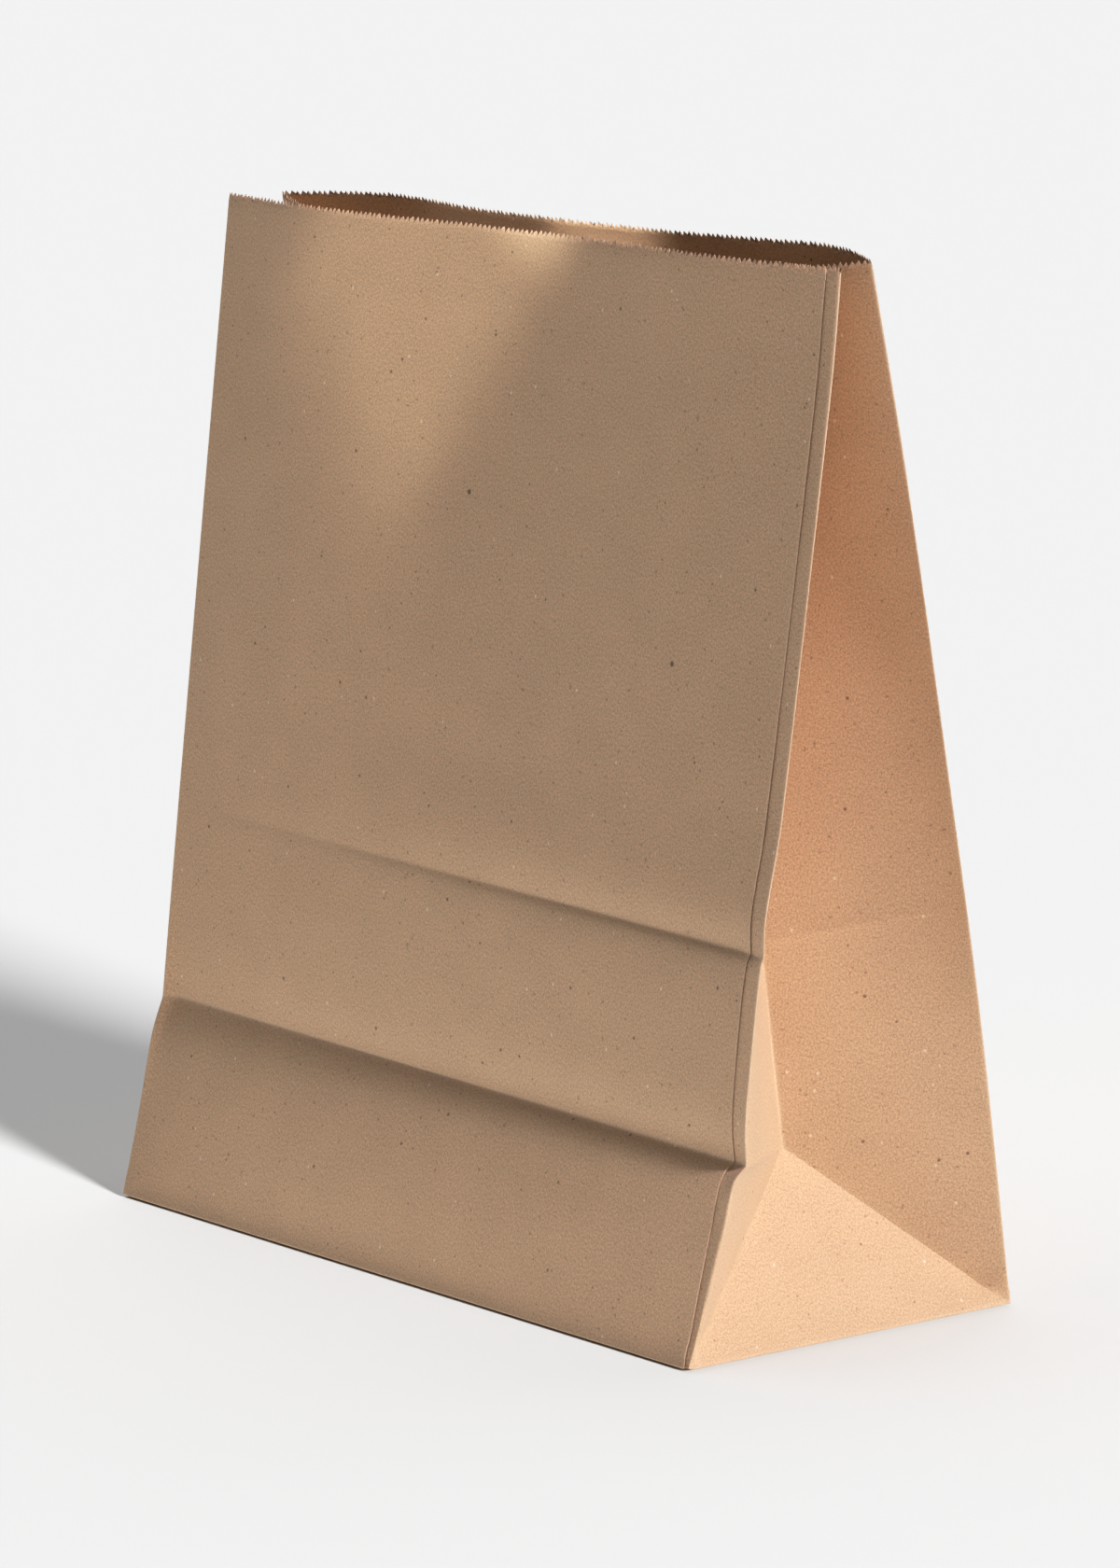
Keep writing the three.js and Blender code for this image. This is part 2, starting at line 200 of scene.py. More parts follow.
def peak(share, lean):
    """A hump from 0 to 0 with height 1, leaning towards share 0 if lean is more than 1."""
    height = (1 / (1 + lean)) * (lean / (1 + lean)) ** lean
    return share * (1 - share) ** lean / height


def bow_depth(bows, across):
    return sum(depth * np.exp(-((across - place) / spread) ** 2) for place, spread, depth in bows)


def pinned(across):
    return 1 - np.exp(-BOW_GRIP * np.clip(across * (1 - across), 0, None))


def front_panel(place, height):
    across = place / WIDTH
    point = mix(FRONT_LEFT_FOLD.at(height), FRONT_RIGHT_FOLD.at(height), across)
    arch = np.sin(math.pi * across)
    rise = np.clip((height - FRONT_BOW_START) / (HEIGHT - FRONT_BOW_START), 0, None)
    crown = BAND_CROWN * np.sin(math.pi * np.clip(height / LOW_CREASE, 0, 1))
    left, right = LOW_GROOVE_SHARES
    dip = groove(LOW_GROOVE, height - LOW_CREASE)
    dip = dip * smoothstep(0, LOW_GROOVE_END, across * (1 - across)) * (left + (right - left) * across)
    high_dip = groove(HIGH_GROOVE, height - HIGH_CREASE) * smoothstep(*HIGH_GROOVE_START, across)
    dip = dip + high_dip * smoothstep(0, HIGH_GROOVE_END, 1 - across)
    point[..., 1] += dip - arch * crown - rise * bow_depth(FRONT_BOWS, across) * pinned(across)
    return point


def groove(shape, above):
    """How far a crease stands in from its face, at a height above it."""
    depth, spread_above, spread_below = shape
    return depth * np.exp(-np.abs(above) / np.where(above > 0, spread_above, spread_below))


def back_panel(place, height):
    across = place / WIDTH
    point = mix(BACK_RIGHT_FOLD.at(height), BACK_LEFT_FOLD.at(height), across)
    rise = np.clip((height - BACK_BOW_START) / (HEIGHT - BACK_BOW_START), 0, None)
    bow = rise ** BACK_BOW_POWER * bow_depth(BACK_BOWS, 1 - across) * pinned(across)
    point[..., 1] += bow
    point[..., 2] += BACK_BOW_LIFT * bow
    return point


def centre_crease(front, back, height, inward):
    middle = (front + back) / 2
    half_gap = np.linalg.norm(front - back, axis=-1) / 2
    reach = np.sqrt(HALF_GUSSET ** 2 - half_gap ** 2)
    up = (height - LOW_CREASE) / (HEIGHT - LOW_CREASE)
    tip = CREASE_TIP_LOW + (CREASE_TIP_HIGH - CREASE_TIP_LOW) * up
    direction = np.stack([inward * np.cos(tip), np.zeros_like(tip), -np.sin(tip)], -1)
    return middle + direction * reach[..., None]


def gusset(front_fold, back_fold, inward, place, height):
    """place runs from the gusset's front fold (0) to its back fold (GUSSET)."""
    front, back = front_fold.at(height), back_fold.at(height)
    high = np.maximum(height, LOW_CREASE)
    centre = centre_crease(front_fold.at(high), back_fold.at(high), high, inward)
    from_fold = np.minimum(place, GUSSET - place) / HALF_GUSSET
    in_front = place < HALF_GUSSET
    fold = np.where(in_front[..., None], front, back)
    upper = mix(fold, centre, from_fold)
    rise = np.clip((height - LOW_CREASE) / (HEIGHT - LOW_CREASE), 0, None)
    swell = GUSSET_BELLY * smoothstep(BELLY_START, 1, rise)
    swell = swell - GUSSET_HOLLOW * smoothstep(0, HOLLOW_TOP, rise)
    belly = swell * peak(from_fold, 2)
    belly = belly - peak(from_fold, 1) * groove(GUSSET_TRACE, height - HIGH_CREASE)
    upper[..., 1] += np.where(in_front, 1, -1) * belly

    crease = np.full_like(height, LOW_CREASE)
    ground = np.zeros_like(height)
    apex = centre_crease(front_fold.at(crease), back_fold.at(crease), crease, inward)
    up = np.clip(height / LOW_CREASE, 1e-6, 1)
    front_slant = mix(front_fold.at(ground), apex, up)
    back_slant = mix(back_fold.at(ground), apex, up)
    reach = np.maximum(height, 1e-6)
    inner = np.maximum(GUSSET - 2 * reach, 1e-6)
    before = mix(front, front_slant, np.clip(place / reach, 0, 1))
    after = mix(back, back_slant, np.clip((GUSSET - place) / reach, 0, 1))
    between = mix(front_slant, back_slant, np.clip((place - reach) / inner, 0, 1))
    lower = np.where((place < reach)[..., None], before,
                     np.where((place > GUSSET - reach)[..., None], after, between))
    return np.where((height >= LOW_CREASE)[..., None], upper, lower)


def base_point(side, edge, depth):
    """The bottom flap that hangs on a side, folded in under the bag: depth from its fold."""
    point = edge.copy()
    along, inwards = (0, 1) if side % 2 == 0 else (1, 0)
    half = WIDTH / 2 if side % 2 == 0 else HALF_GUSSET
    towards = -1 if side in (1, 2) else 1
    point[..., along] *= 1 - depth / half
    point[..., inwards] += towards * depth
    point[..., 2] = LAYER * side_layer(side) * smoothstep(FLAP_RISE_START, HALF_GUSSET, depth)
    return point


def side_layer(side):
    """How many sheets lie under a side's flap: none under the front flap, which is outermost."""
    return (0, 2, 1, 2)[side]


SIDES = (
    (WIDTH, front_panel),
    (GUSSET, lambda p, h: gusset(FRONT_RIGHT_FOLD, BACK_RIGHT_FOLD, -1, p, h)),
    (WIDTH, back_panel),
    (GUSSET, lambda p, h: gusset(FRONT_LEFT_FOLD, BACK_LEFT_FOLD, 1, GUSSET - p, h)),
)
SIDE_STARTS = np.cumsum([0] + [length for length, _ in SIDES])


def sharp_sheet(round_at, height):
    """Where places on the sheet stand if every fold is a sharp line."""
    round_at = np.mod(round_at, PERIMETER)
    out = np.zeros(round_at.shape + (3,))
    for side, (length, shape) in enumerate(SIDES):
        here = (round_at >= SIDE_STARTS[side]) & (round_at < SIDE_STARTS[side + 1])
        place, level = round_at[here] - SIDE_STARTS[side], height[here]
        point = shape(place, np.maximum(level, 0))
        folded_in = level < 0
        point[folded_in] = base_point(side, point[folded_in], -level[folded_in])
        out[here] = point
    return out


def soft_sheet(round_at, height):
    """The same with every fold and crease rounded, by averaging over a small patch."""
    taps, weights = averaging_taps(*ACROSS_TAPS)
    level_taps, level_weights = averaging_taps(*LEVEL_TAPS)
    total = np.zeros(round_at.shape + (3,))
    radius = fold_radius(round_at, height)
    for shift, weight in zip(taps, weights):
        for lift, level_weight in zip(level_taps, level_weights):
            point = sharp_sheet(round_at + shift * radius, height + lift * CREASE_RADIUS)
            total += weight * level_weight * point
    return total / (weights.sum() * level_weights.sum())


def averaging_taps(count, evenness):
    """Places from -1 to 1, and weights that are highest in the middle."""
    taps = np.linspace(-1, 1, count)
    return taps, np.cos(taps * math.pi / evenness)


def fold_radius(round_at, height):
    """The front right fold opens out softly towards the mouth, where the lap has held it flat."""
    away = np.abs(np.mod(round_at, PERIMETER) - WIDTH)
    rise = np.clip((height - HIGH_CREASE) / (HEIGHT - HIGH_CREASE), 0, 1)
    return FOLD_RADIUS + WIDE_FOLD * rise * np.exp(-(away / WIDE_FOLD_REACH) ** 2)


def soft_noise(x, y, cell, seed):
    """Smooth value noise in -1..1 from a seeded lattice."""
    lattice = np.random.default_rng(seed).uniform(-1, 1, (64, 64))
    gx, gy = x / cell + 8, y / cell + 8
    ix, iy = np.floor(gx).astype(int), np.floor(gy).astype(int)
    fx, fy = (smoothstep(0, 1, part) for part in (gx - ix, gy - iy))
    value = 0
    for dx, wx in ((0, 1 - fx), (1, fx)):
        for dy, wy in ((0, 1 - fy), (1, fy)):
            value = value + wx * wy * lattice[(ix + dx) % 64, (iy + dy) % 64]
    return value


def crumples(round_at, level):
    """Small dents and bulges where the bottom corners have been knocked."""
    place = np.mod(round_at, PERIMETER)
    return sum(push * np.exp(-((place - at) / wide) ** 2 - ((level - up) / tall) ** 2)
               for at, up, wide, tall, push in CRUMPLES)


# ---- how the sheet is divided ----------------------------------------------------------------

NEAR_FOLD = np.array([0, 0.4, 0.9, 1.5, 2.3, 3.4])   # distances of the stops beside a fold
GUSSET_STEP = 2.2
BAND_STEP = 2.6
PANEL_STEP = 3.1
UPPER_STEP = 3.0
LAP_CELLS = 7
UNDER_EDGE = np.array([0, 0.5, 1.1, 1.8, 2.6])   # stops past the lap's hidden part
FREE_EDGE = np.array([1.9, 1.2, 0.6, 0.2, 0])    # and before its free edge
FREE_EDGE_ROOM = 2.5
FLAP_STOPS = (FLAP_LENGTH, 62, HALF_GUSSET, 46, 36, 26, 16, 9)


def stops_between(length, step):
    """Stops from 0 to length, close together beside both ends."""
    inner = np.linspace(NEAR_FOLD[-1], length - NEAR_FOLD[-1],
                        max(2, round((length - 2 * NEAR_FOLD[-1]) / step) + 1))
    return np.concatenate([NEAR_FOLD[:-1], inner, length - NEAR_FOLD[-2::-1]])


HALF_STOPS = stops_between(HALF_GUSSET, GUSSET_STEP)


def sheet_columns():
    """Distances along the sheet, from its hidden edge under the lap to its free edge."""
    lap_start = WIDTH - LAP_EDGE - LAP_WIDTH
    under_lap = np.concatenate([np.linspace(0, LAP_WIDTH, LAP_CELLS + 1)[:-1],
                                LAP_WIDTH + UNDER_EDGE,
                                LAP_WIDTH + LAP_EDGE - NEAR_FOLD[:0:-1]])
    gusset_stops = np.concatenate([HALF_STOPS, HALF_GUSSET + HALF_STOPS[1:]])
    wide_stops = stops_between(WIDTH, PANEL_STEP)
    cursor = LAP_WIDTH + LAP_EDGE
    columns = [under_lap[under_lap < cursor - 0.1]]
    for stops, length in ((gusset_stops, GUSSET), (wide_stops, WIDTH), (gusset_stops, GUSSET)):
        columns.append(cursor + stops[:-1])
        cursor += length
    columns.append(cursor + wide_stops[wide_stops < WIDTH - LAP_EDGE - FREE_EDGE_ROOM])
    columns.append(cursor + WIDTH - LAP_EDGE - FREE_EDGE)
    return np.concatenate(columns), lap_start


def sheet_rows():
    """Heights along the sheet, from the ends of the bottom flaps to just under the teeth."""
    base = -np.concatenate([FLAP_STOPS, NEAR_FOLD[:0:-1]])
    middle = LOW_CREASE + stops_between(HIGH_CREASE - LOW_CREASE, BAND_STEP)[1:]
    upper = HIGH_CREASE + stops_between(HEIGHT - RIM_BAND - HIGH_CREASE, UPPER_STEP)[1:-4]
    return np.concatenate([base, HALF_STOPS, middle, upper, [HEIGHT - RIM_BAND]])


def mouth_stops(start, end):
    """The toothed edge, notch to notch, as distances along the sheet and heights."""
    teeth = round((end - start) / TOOTH_PITCH)
    along = np.linspace(start, end, 2 * teeth + 1)
    heights = np.where(np.arange(2 * teeth + 1) % 2 == 0, HEIGHT - TOOTH_DEPTH, HEIGHT)
    ragged = np.random.default_rng(TOOTH_SEED).uniform(-1, 1, (2, len(along)))
    along[1:-1] += TOOTH_UNEVEN[0] * ragged[0, 1:-1]
    return along, heights + TOOTH_UNEVEN[1] * ragged[1]


class SheetMesh:
    """The fine sheet as one open surface, to be given its thickness by a modifier."""

    def __init__(self):
        self.along, self.lap_start = sheet_columns()
        self.levels = sheet_rows()
        self.length = self.along[-1]
        along, level = np.meshgrid(self.along, self.levels)
        mouth_along, mouth_level = mouth_stops(0, self.length)
        self.flat_along = np.concatenate([along.ravel(), mouth_along])
        self.flat_level = np.concatenate([level.ravel(), mouth_level])
        self.points = self.stand(self.flat_along, self.flat_level)
        self.faces = self.grid_faces() + self.mouth_faces(mouth_along)

    def stand(self, along, level):
        """Places on the sheet, in metres."""
        round_at = along + self.lap_start + self.drift(along, level)
        point = soft_sheet(round_at, level)
        across = soft_sheet(round_at + PROBE, level) - soft_sheet(round_at - PROBE, level)
        upwards = soft_sheet(round_at, level + PROBE) - soft_sheet(round_at, level - PROBE)
        outward = np.cross(across, upwards)
        outward /= np.maximum(np.linalg.norm(outward, axis=-1, keepdims=True), 1e-9)
        offset = self.lap_offset(along) + self.slack(along, level) - self.curl(level)
        offset = offset + crumples(round_at, level)
        point = point + outward * offset[:, None]
        lowest = SHEET / 2 + FLOOR_GAP
        point[:, 2] += lowest + BASE_EDGE_LIFT * np.exp(-(level / BASE_LIFT_REACH) ** 2)
        point[:, 2] = np.maximum(point[:, 2], lowest)
        return point * MM

    def drift(self, along, level):
        """Near the base the paper has crept round the front right fold."""
        fold = np.where(along < self.length / 2, LAP_WIDTH + LAP_EDGE, self.length + LAP_EDGE)
        near = np.exp(-(np.abs(along - fold) / LAP_DRIFT_REACH) ** 2)
        lowness = np.clip(1 - level / LOW_CREASE, 0, 1) ** LAP_DRIFT_POWER
        return LAP_DRIFT * near * lowness * (level >= 0)

    def lap_offset(self, along):
        under = smoothstep(LAP_WIDTH + LAP_RISE, LAP_WIDTH + LAP_LEVEL, along)
        hidden = np.clip(1 - along / LAP_WIDTH, 0, 1)
        return -LAP_DROP * under - LAP_HIDDEN_DROP * hidden

    def slack(self, along, level):
        wave = soft_noise(along, level, SLACK_CELL, SLACK_SEED)
        wave = wave + 0.5 * soft_noise(along + SLACK_SHIFT, level, SLACK_CELL / 2, SLACK_SEED + 1)
        off_fold = smoothstep(0, SLACK_FOLD, fold_distance(along + self.lap_start))
        return SLACK * wave * smoothstep(*SLACK_BASE, level) * off_fold

    def curl(self, level):
        rise = np.clip((level - HEIGHT + RIM_BAND) / RIM_BAND, 0, None)
        return TOOTH_CURL * rise ** TOOTH_CURL_POWER

    def grid_faces(self):
        count = len(self.along)
        middle = np.mod((self.along[1:] + self.along[:-1]) / 2 + self.lap_start, PERIMETER)
        in_gusset = ((middle > WIDTH) & (middle < WIDTH + GUSSET)) | (middle > 2 * WIDTH + GUSSET)
        place = np.where(middle > 2 * WIDTH + GUSSET, middle - 2 * WIDTH - GUSSET, middle - WIDTH)
        going_out = in_gusset & (place > HALF_GUSSET)
        faces = []
        for row in range(len(self.levels) - 1):
            too_deep = self.levels[row] < -HALF_GUSSET - 0.01
            slanted = 0 <= self.levels[row] < LOW_CREASE - 0.01
            for column in range(count - 1):
                if too_deep and in_gusset[column]:
                    continue
                a = row * count + column
                b, c, d = a + 1, a + 1 + count, a + count
                if not (slanted and in_gusset[column]):
                    faces.append((a, b, c, d))
                elif going_out[column]:
                    faces += [(a, b, d), (b, c, d)]
                else:
                    faces += [(a, b, c), (a, c, d)]
        return faces

    def mouth_faces(self, mouth_along):
        """Closes the strip between the top row and the toothed edge, walking along both."""
        count = len(self.along)
        low = (len(self.levels) - 1) * count
        high = len(self.levels) * count
        faces, i, j = [], 0, 0
        while i < count - 1 or j < len(mouth_along) - 1:
            step_low = j == len(mouth_along) - 1 or (
                i < count - 1 and self.along[i + 1] <= mouth_along[j + 1])
            if step_low:
                faces.append((low + i, low + i + 1, high + j))
                i += 1
            else:
                faces.append((low + i, high + j + 1, high + j))
                j += 1
        return faces


def fold_distance(round_at):
    """Distance to the nearest upright fold, along the sheet."""
    folds = [0, WIDTH, WIDTH + HALF_GUSSET, WIDTH + GUSSET, 2 * WIDTH + GUSSET,
             2 * WIDTH + GUSSET + HALF_GUSSET, PERIMETER]
    round_at = np.mod(round_at, PERIMETER)
    return np.min([np.abs(round_at - fold) for fold in folds], axis=0)


WEAR_WIDTH = 0.9
HIGH_WEAR = 0.5
HIGH_WEAR_WIDTH = 0.8
HIGH_WEAR_START = (90, 220)    # the high crease is worn from between these distances on
APEX_REACH = 20.0              # the middle of a gusset's foot has no fold, so it is worn less
APEX_WEAR = 0.25
PAINTED_FOLD_HIGHLIGHT = 1.3                # the upper part of the front right fold is painted paler, a painted highlight where light catches the rounded fold
FOLD_HIGHLIGHT_SHIFT = 0.4
FOLD_HIGHLIGHT_WIDTH = 1.2
FOLD_HIGHLIGHT_RISE = (60, 130)


def near_line(distance, width=WEAR_WIDTH):
    return np.exp(-(distance / width) ** 2)


def fold_wear_and_highlight(round_at, level):
    """1 on a worn fold or crease, falling to 0 beside it, plus a painted highlight on the upper front
    right fold.
    """
    place = np.mod(round_at, PERIMETER)
    front = place < WIDTH
    in_gusset = ~front & ~((place > WIDTH + GUSSET) & (place < 2 * WIDTH + GUSSET))
    under_apex = in_gusset & (level < LOW_CREASE) & (fold_distance(round_at) < APEX_REACH)
    under_apex = under_apex & (np.abs(gusset_place(place) - HALF_GUSSET) < APEX_REACH)
    upright = near_line(fold_distance(round_at)) * (level > 0) * np.where(under_apex, APEX_WEAR, 1)
    low = near_line(level - LOW_CREASE) * front
    high = HIGH_WEAR * near_line(level - HIGH_CREASE, HIGH_WEAR_WIDTH) * front
    high = high * smoothstep(*HIGH_WEAR_START, place)
    pale_marks = np.clip(np.maximum.reduce([upright, low, high, near_line(level)]), 0, 1)
    # Painted highlight: the upper front right fold is painted paler where light catches its rounding.
    painted_highlight = near_line(place - WIDTH - FOLD_HIGHLIGHT_SHIFT, FOLD_HIGHLIGHT_WIDTH)
    return pale_marks + PAINTED_FOLD_HIGHLIGHT * painted_highlight * smoothstep(*FOLD_HIGHLIGHT_RISE, level)


def gusset_place(place):
    """Distance from a gusset's first fold."""
    return np.where(place > 2 * WIDTH + GUSSET, place - 2 * WIDTH - GUSSET, place - WIDTH)


def build_bag():
    sheet = SheetMesh()
    mesh = bpy.data.meshes.new("paper_sheet")
    mesh.from_pydata(sheet.points.tolist(), [], sheet.faces)
    uv = mesh.uv_layers.new(name="flat_sheet")
    corner_vertex = np.zeros(len(mesh.loops), int)
    mesh.loops.foreach_get("vertex_index", corner_vertex)
    flat = np.stack([sheet.flat_along, sheet.flat_level], -1) * MM
    uv.data.foreach_set("uv", flat[corner_vertex].ravel())
    # Paler worn folds and creases, plus painted highlights on the upper front right fold and the lap's
    # cut edge.
    wear_and_highlight = mesh.attributes.new("wear_and_highlight", "FLOAT", "POINT")
    pale_marks = fold_wear_and_highlight(sheet.flat_along + sheet.lap_start, sheet.flat_level)
    # The lap's free cut edge: partly the paper's pale cut edge, partly a painted highlight.
    cut_edge = smoothstep(CUT_EDGE_WIDTH, 0.0, sheet.length - sheet.flat_along)
    wear_and_highlight.data.foreach_set("value", np.maximum(pale_marks, CUT_EDGE_PALENESS_AND_HIGHLIGHT * cut_edge))
    bag = bpy.data.objects.new("kraft_bag", mesh)
    bpy.context.scene.collection.objects.link(bag)
    mark_slanted_folds(mesh, sheet)
    weld(mesh)
    mesh.shade_smooth()
    thickness = bag.modifiers.new("paper", "SOLIDIFY")
    thickness.thickness = SHEET * MM
    thickness.offset = 0
    return bag


SHARP_FROM = 3.0      # below this the corner's own crumple rounds the fold
SHARP_NEAR = 0.15
WELD_GAP = 0.004


def mark_slanted_folds(mesh, sheet):
    """The folds that slant across each gusset's foot are pressed sharp."""
    round_at = sheet.flat_along + sheet.lap_start + sheet.drift(sheet.flat_along, sheet.flat_level)
    place = np.mod(round_at, PERIMETER)
    in_gusset = (place > 2 * WIDTH + GUSSET) | ((place > WIDTH) & (place < WIDTH + GUSSET))
    from_fold = HALF_GUSSET - np.abs(gusset_place(place) - HALF_GUSSET)
    on_slant = in_gusset & (sheet.flat_level > SHARP_FROM)
    on_slant = on_slant & (np.abs(from_fold - sheet.flat_level) < SHARP_NEAR)
    ends = np.zeros(2 * len(mesh.edges), int)
    mesh.edges.foreach_get("vertices", ends)
    sharp = mesh.attributes.new("sharp_edge", "BOOLEAN", "EDGE")
    sharp.data.foreach_set("value", on_slant[ends].reshape(-1, 2).all(axis=1))


def weld(mesh):
    """Joins the bottom flaps to each other along their slanted folds."""
    work = bmesh.new()
    work.from_mesh(mesh)
    bmesh.ops.remove_doubles(work, verts=work.verts, dist=WELD_GAP * MM)
    bmesh.ops.dissolve_degenerate(work, edges=work.edges, dist=WELD_GAP / 2 * MM)
    work.to_mesh(mesh)
    work.free()


# ---- kraft paper -----------------------------------------------------------------------------

KRAFT = (0.61, 0.408, 0.255, 1)
# Colour of worn folds and creases, also used for the painted highlights on the front right fold and
# the lap's cut edge.
WEAR_AND_HIGHLIGHT_COLOR = (0.74, 0.56, 0.40, 1)
WEAR_AND_HIGHLIGHT_SHARE = 0.28
CLOUDS = (55, 4, 0.55)              # scale per metre, detail, roughness
FINE_GRAIN = (2900, 2, 0.6)
COARSE_GRAIN = (1900, 2, 0.6)
MOTTLE = (420, 3, 0.5)
# Strands: scale per metre, how the pattern is turned, how sparse, share of colour, colour.
FIBRES = (800, 0.4, 0.64, 0.34, (0.80, 0.62, 0.44, 1))
DARK_FIBRES = (560, 2.1, 0.66, 0.4, (0.24, 0.135, 0.075, 1))
# Dots: squeeze, turn, scale per metre, radius as a share of the cell, how rare, share, colour.
DOTS = (
    ((1, 1, 1), 0.0, 260, 0.08, 0.93, 0.75, (0.16, 0.085, 0.045, 1)),
    ((1, 1, 1), 0.5, 520, 0.13, 0.93, 0.5, (0.2, 0.11, 0.06, 1)),
    ((1, 0.8, 1), 1.1, 400, 0.1, 0.96, 0.65, (0.85, 0.74, 0.6, 1)),
    ((1, 1, 1), 0.0, 34, 0.016, 0.88, 0.8, (0.10, 0.06, 0.035, 1)),
)
BUMP_STRENGTH = 0.4
BUMP_HEIGHT = 0.00014


class Nodes:
    """Short names for making and joining shader nodes."""

    def __init__(self, material):
        material.use_nodes = True
        self.tree = material.node_tree
        self.tree.nodes.clear()

    def add(self, kind, **settings):
        node = self.tree.nodes.new(kind)
        for name, value in settings.items():
            setattr(node, name, value)
        return node

    def join(self, source, target):
        self.tree.links.new(source, target)

    def math(self, operation, first, second=0.0):
        node = self.add("ShaderNodeMath", operation=operation)
        for socket, value in zip(node.inputs, (first, second)):
            if isinstance(value, (int, float)):
                socket.default_value = value
            else:
                self.join(value, socket)
        return node.outputs[0]

    def spread(self, value, low, high, to_low=0.0, to_high=1.0):
        node = self.add("ShaderNodeMapRange", interpolation_type="SMOOTHSTEP")
        self.join(value, node.inputs["Value"])
        ends = {"From Min": low, "From Max": high, "To Min": to_low, "To Max": to_high}
        for name, number in ends.items():
            node.inputs[name].default_value = number
        return node.outputs["Result"]

    def place(self, source, scale, turn=0.0, shift=(0, 0, 0)):
        node = self.add("ShaderNodeMapping")
        self.join(source, node.inputs["Vector"])
        node.inputs["Scale"].default_value = scale
        node.inputs["Rotation"].default_value = (0, 0, turn)
        node.inputs["Location"].default_value = shift
        return node.outputs["Vector"]

    def noise(self, vector, scale, detail=2.0, roughness=0.5, distortion=0.0):
        node = self.add("ShaderNodeTexNoise")
        self.join(vector, node.inputs["Vector"])
        node.inputs["Scale"].default_value = scale
        node.inputs["Detail"].default_value = detail
        node.inputs["Roughness"].default_value = roughness
        node.inputs["Distortion"].default_value = distortion
        return node.outputs["Fac"]

    def cells(self, vector, scale):
        node = self.add("ShaderNodeTexVoronoi")
        self.join(vector, node.inputs["Vector"])
        node.inputs["Scale"].default_value = scale
        return node.outputs["Distance"], node.outputs["Color"]

    def blend(self, share, first, second, mode="MIX"):
        node = self.add("ShaderNodeMix", data_type="RGBA", blend_type=mode)
        share_input, first_input, second_input = node.inputs[0], node.inputs[6], node.inputs[7]
        for socket, value in ((share_input, share), (first_input, first), (second_input, second)):
            if isinstance(value, (int, float, tuple)):
                socket.default_value = value
            else:
                self.join(value, socket)
        return node.outputs[2]


def kraft_material():
    material = bpy.data.materials.new("kraft_paper")
    n = Nodes(material)
    flat = n.add("ShaderNodeUVMap", uv_map="flat_sheet").outputs["UV"]
    wear_and_highlight = n.add("ShaderNodeAttribute", attribute_name="wear_and_highlight").outputs["Fac"]

    fine_grain = n.noise(n.place(flat, (1.0, 0.75, 1)), *FINE_GRAIN)
    coarse_grain = n.noise(n.place(flat, (1.0, 0.7, 1), 0.3), *COARSE_GRAIN)
    grain = n.math("MULTIPLY", n.math("ADD", fine_grain, coarse_grain), 0.5)
    clouds = n.spread(n.noise(flat, *CLOUDS), 0.3, 0.7, 0.975, 1.025)
    tone = n.math("ADD", clouds, n.spread(grain, 0.32, 0.68, -0.27, 0.27))
    color = n.blend(1.0, KRAFT, grey(n, tone), "MULTIPLY")
    fibres, color = add_fibres(n, flat, color, *FIBRES)
    _, color = add_fibres(n, flat, color, *DARK_FIBRES)
    for squeeze, turn, scale, radius, rare, share, dot_color in DOTS:
        dots = speck_mask(n, n.place(flat, squeeze, turn), scale, radius, rare)
        color = n.blend(n.math("MULTIPLY", dots, share), color, dot_color)
    # Paler worn folds and creases, and painted highlights on the upper front right fold and the lap's
    # cut edge.
    color = n.blend(n.math("MULTIPLY", wear_and_highlight, WEAR_AND_HIGHLIGHT_SHARE), color, WEAR_AND_HIGHLIGHT_COLOR)

    mottle = n.math("MULTIPLY", n.noise(flat, *MOTTLE), 0.35)
    height = n.math("ADD", n.math("MULTIPLY", grain, 0.6), mottle)
    height = n.math("ADD", height, n.math("MULTIPLY", fibres, 0.5))
    bump = n.add("ShaderNodeBump")
    bump.inputs["Strength"].default_value = BUMP_STRENGTH
    bump.inputs["Distance"].default_value = BUMP_HEIGHT
    n.join(height, bump.inputs["Height"])

    shader = n.add("ShaderNodeBsdfPrincipled")
    shader.inputs["Sheen Weight"].default_value = 0.12
    shader.inputs["Sheen Roughness"].default_value = 0.5
    shader.inputs["Specular IOR Level"].default_value = 0.5
    n.join(color, shader.inputs["Base Color"])
    n.join(n.spread(grain, 0.3, 0.7, 0.66, 0.85), shader.inputs["Roughness"])
    n.join(bump.outputs["Normal"], shader.inputs["Normal"])
    output = n.add("ShaderNodeOutputMaterial")
    n.join(shader.outputs["BSDF"], output.inputs["Surface"])
    return material


def grey(n, value):
    node = n.add("ShaderNodeCombineColor")
    for name in ("Red", "Green", "Blue"):
        n.join(value, node.inputs[name])
    return node.outputs["Color"]


def add_fibres(n, flat, color, scale, turn, sparse, share, fibre_color):
    fibres = fibre_mask(n, flat, scale, turn, sparse)
    return fibres, n.blend(n.math("MULTIPLY", fibres, share), color, fibre_color)


def fibre_mask(n, flat, scale, turn, sparse):
    """Short thin curved strands: where a noise crosses its middle, kept in scattered spots."""
    line = n.noise(n.place(flat, (1, 0.45, 1), turn, (turn, 0, 0)), scale, 1, 0.4, 0.6)
    thin = n.spread(n.math("ABSOLUTE", n.math("SUBTRACT", line, 0.5)), 0.012, 0.03, 1, 0)
    spot = n.noise(n.place(flat, (1, 1, 1), 0, (0, turn, 0)), scale * 0.9, 1, 0.5)
    return n.math("MULTIPLY", thin, n.spread(spot, sparse - 0.04, sparse + 0.04))


